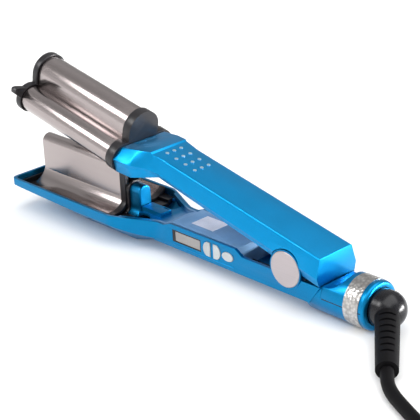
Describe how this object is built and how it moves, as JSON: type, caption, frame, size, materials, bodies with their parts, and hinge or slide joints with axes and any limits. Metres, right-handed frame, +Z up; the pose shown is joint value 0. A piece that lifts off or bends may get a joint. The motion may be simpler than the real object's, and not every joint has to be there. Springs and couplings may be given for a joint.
{
  "type": "hair waver",
  "caption": "Hair waver with a hinged blue arm over a lower handle, a tall ridged lower hot plate nesting in a double-barrel upper plate, side display, buttons and a swivel cord.",
  "frame": {"origin": "The middle of the flat rest pad under the lower jaw, on the surface that the tool rests on.", "axes": "+X runs from the jaws to the cord, -Y is the side with the display and the buttons, +Z is up."},
  "size_m": [0.5318, 0.1525, 0.1067],
  "materials": {
    "casing_blue": "metallic gloss lacquer",
    "deck_blue": "satin",
    "trim_dark": "satin heat-resistant plastic",
    "black_plastic": "satin",
    "plate_titanium": "satin titanium-tone coating",
    "silver": "satin",
    "steel": "brushed",
    "white_plastic": "satin",
    "display_grey": "gloss",
    "board_green": "solder mask",
    "heater_ceramic": "ceramic",
    "brass": "plain",
    "black_rubber": "satin"
  },
  "bodies": {
    "body": {"lower_casing": "casing_blue", "rear_cover": "casing_blue", "collar_band": "silver", "swivel_socket": "black_plastic", "lower_plate": "plate_titanium", "ridge_end_frame": "trim_dark", "plate_carrier": "trim_dark", "jaw_bridge": "deck_blue", "handle_deck": "deck_blue", "label_plate": "silver", "lower_heater": "heater_ceramic", "heater_clamp": "steel", "lower_sensor": "heater_ceramic", "display_window": "display_grey", "display_module": "black_plastic", "control_board": "board_green", "tact_switches": "black_plastic", "hinge_pin": "steel", "hinge_cap_near": "silver", "hinge_cap_far": "silver", "arm_spring": "steel", "casing_screws": "steel", "power_leads": "black_rubber", "cord": "black_rubber", "cord_coil": "black_rubber", "cord_tail": "black_rubber", "plug_body": "black_rubber", "plug_blades": "brass"},
    "arm": {"upper_casing": "casing_blue", "upper_inner_cover": "deck_blue", "upper_plate": "plate_titanium", "upper_front_cap": "trim_dark", "upper_rear_cap": "trim_dark", "upper_heaters": "heater_ceramic", "heater_clips": "steel", "upper_sensor": "heater_ceramic", "arm_screws": "steel", "grip_dots": "silver"},
    "swivel": {"swivel_elbow": "black_plastic", "cord_sleeve": "black_rubber"},
    "button_down": {"button_down": "white_plastic"},
    "button_up": {"button_up": "white_plastic"},
    "power_button": {"power_button": "white_plastic"}
  },
  "joints": [
    {"name": "arm_hinge", "type": "hinge", "parent": "body", "child": "arm", "pos_m": [0.158, 0, 0.0256], "axis": [0, -1, 0], "range_deg": [0, 12], "stiffness_Nm_per_rad": 0.6, "springref_deg": -22.92},
    {"name": "cord_swivel", "type": "hinge", "parent": "body", "child": "swivel", "pos_m": [0.215, 0, 0.01505], "axis": [-1, 0, 0], "continuous": true},
    {"name": "button_down_press", "type": "slide", "parent": "body", "child": "button_down", "axis": [0, 1, 0], "range_m": [0, 0.0005], "stiffness_N_per_m": 400, "springref_m": -0.002},
    {"name": "button_up_press", "type": "slide", "parent": "body", "child": "button_up", "axis": [0, 1, 0], "range_m": [0, 0.0005], "stiffness_N_per_m": 400, "springref_m": -0.002},
    {"name": "power_button_press", "type": "slide", "parent": "body", "child": "power_button", "axis": [0, 1, 0], "range_m": [0, 0.0005], "stiffness_N_per_m": 400, "springref_m": -0.002}
  ]
}
